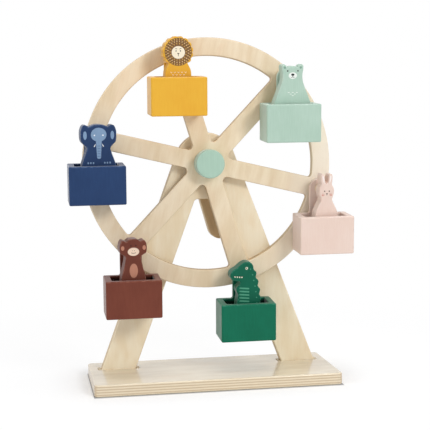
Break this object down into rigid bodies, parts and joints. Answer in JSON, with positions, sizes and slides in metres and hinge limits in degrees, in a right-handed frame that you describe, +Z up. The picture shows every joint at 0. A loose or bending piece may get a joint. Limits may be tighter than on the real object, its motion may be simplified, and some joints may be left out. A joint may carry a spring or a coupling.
{
  "type": "crank ferris wheel toy",
  "caption": "Tabletop wooden ferris wheel toy: a plywood wheel with painted box gondolas, each holding an animal figure, turned by a crank at the back of an A-shaped stand.",
  "frame": {"origin": "centre of the base board's underside, on the table", "axes": "+X to the right and +Y to the back as seen from the wheel's side, +Z up; the axle runs along Y"},
  "size_m": [0.287, 0.1302, 0.3518],
  "materials": {
    "birch_ply": "sanded birch plywood, light clear coat",
    "birch_dowel": "turned birch, light clear coat",
    "paint_pink": "matt pink paint on wood",
    "paint_mint": "matt mint paint on wood",
    "paint_yellow": "matt yellow paint on wood",
    "paint_blue": "matt blue paint on wood",
    "paint_brown": "matt brown paint on wood",
    "paint_green": "matt green paint on wood",
    "paint_cap": "matt mint paint on wood"
  },
  "bodies": {
    "stand": {"base_board": "birch_ply", "stand_frame": "birch_ply"},
    "wheel_rotor": {"wheel": "birch_ply", "hub_cap": "paint_cap", "axle_dowel": "birch_dowel", "front_washer": "birch_dowel", "rear_washer": "birch_dowel", "crank_arm": "birch_ply", "knob_pin": "birch_dowel", "peg_pink": "birch_dowel", "peg_mint": "birch_dowel", "peg_yellow": "birch_dowel", "peg_blue": "birch_dowel", "peg_brown": "birch_dowel", "peg_green": "birch_dowel"},
    "crank_knob": {"crank_knob": "birch_dowel"},
    "gondola_pink": {"box_pink": "paint_pink", "hanger_pink": "paint_pink", "collar_pink": "birch_dowel"},
    "rider_rabbit": {"figure_rabbit": "paint_pink"},
    "gondola_mint": {"box_mint": "paint_mint", "hanger_mint": "paint_mint", "collar_mint": "birch_dowel"},
    "rider_bear": {"figure_bear": "paint_mint"},
    "gondola_yellow": {"box_yellow": "paint_yellow", "hanger_yellow": "paint_yellow", "collar_yellow": "birch_dowel"},
    "rider_lion": {"figure_lion": "paint_yellow"},
    "gondola_blue": {"box_blue": "paint_blue", "hanger_blue": "paint_blue", "collar_blue": "birch_dowel"},
    "rider_elephant": {"figure_elephant": "paint_blue"},
    "gondola_brown": {"box_brown": "paint_brown", "hanger_brown": "paint_brown", "collar_brown": "birch_dowel"},
    "rider_monkey": {"figure_monkey": "paint_brown"},
    "gondola_green": {"box_green": "paint_green", "hanger_green": "paint_green", "collar_green": "birch_dowel"},
    "rider_crocodile": {"figure_crocodile": "paint_green"}
  },
  "joints": [
    {"name": "wheel_spin", "type": "hinge", "parent": "stand", "child": "wheel_rotor", "pos_m": [0, 0.0233, 0.2235], "axis": [0, 1, 0], "continuous": true},
    {"name": "knob_spin", "type": "hinge", "parent": "wheel_rotor", "child": "crank_knob", "pos_m": [0.01705, 0.0612, 0.15561], "axis": [0, 1, 0], "continuous": true},
    {"name": "level_pink", "type": "hinge", "parent": "wheel_rotor", "child": "gondola_pink", "pos_m": [0.11542, -0.0007, 0.19536], "axis": [0, 1, 0], "continuous": true},
    {"name": "lift_rabbit", "type": "slide", "parent": "gondola_pink", "child": "rider_rabbit", "axis": [0, -0.0646, 0.9979], "range_m": [0, 0.025]},
    {"name": "level_mint", "type": "hinge", "parent": "wheel_rotor", "child": "gondola_mint", "pos_m": [0.08208, -0.0007, 0.30939], "axis": [0, 1, 0], "continuous": true},
    {"name": "lift_bear", "type": "slide", "parent": "gondola_mint", "child": "rider_bear", "axis": [0, -0.0646, 0.9979], "range_m": [0, 0.025]},
    {"name": "level_yellow", "type": "hinge", "parent": "wheel_rotor", "child": "gondola_yellow", "pos_m": [-0.03334, -0.0007, 0.33753], "axis": [0, 1, 0], "continuous": true},
    {"name": "lift_lion", "type": "slide", "parent": "gondola_yellow", "child": "rider_lion", "axis": [0, -0.0646, 0.9979], "range_m": [0, 0.025]},
    {"name": "level_blue", "type": "hinge", "parent": "wheel_rotor", "child": "gondola_blue", "pos_m": [-0.11542, -0.0007, 0.25164], "axis": [0, 1, 0], "continuous": true},
    {"name": "lift_elephant", "type": "slide", "parent": "gondola_blue", "child": "rider_elephant", "axis": [0, -0.0646, 0.9979], "range_m": [0, 0.025]},
    {"name": "level_brown", "type": "hinge", "parent": "wheel_rotor", "child": "gondola_brown", "pos_m": [-0.08208, -0.0007, 0.13761], "axis": [0, 1, 0], "continuous": true},
    {"name": "lift_monkey", "type": "slide", "parent": "gondola_brown", "child": "rider_monkey", "axis": [0, -0.0646, 0.9979], "range_m": [0, 0.025]},
    {"name": "level_green", "type": "hinge", "parent": "wheel_rotor", "child": "gondola_green", "pos_m": [0.03334, -0.0007, 0.10948], "axis": [0, 1, 0], "continuous": true},
    {"name": "lift_crocodile", "type": "slide", "parent": "gondola_green", "child": "rider_crocodile", "axis": [0, -0.0646, 0.9979], "range_m": [0, 0.025]}
  ],
  "couplings": [
    {"joint": "level_pink", "follows": "wheel_spin", "ratio": -1},
    {"joint": "level_mint", "follows": "wheel_spin", "ratio": -1},
    {"joint": "level_yellow", "follows": "wheel_spin", "ratio": -1},
    {"joint": "level_blue", "follows": "wheel_spin", "ratio": -1},
    {"joint": "level_brown", "follows": "wheel_spin", "ratio": -1},
    {"joint": "level_green", "follows": "wheel_spin", "ratio": -1}
  ]
}
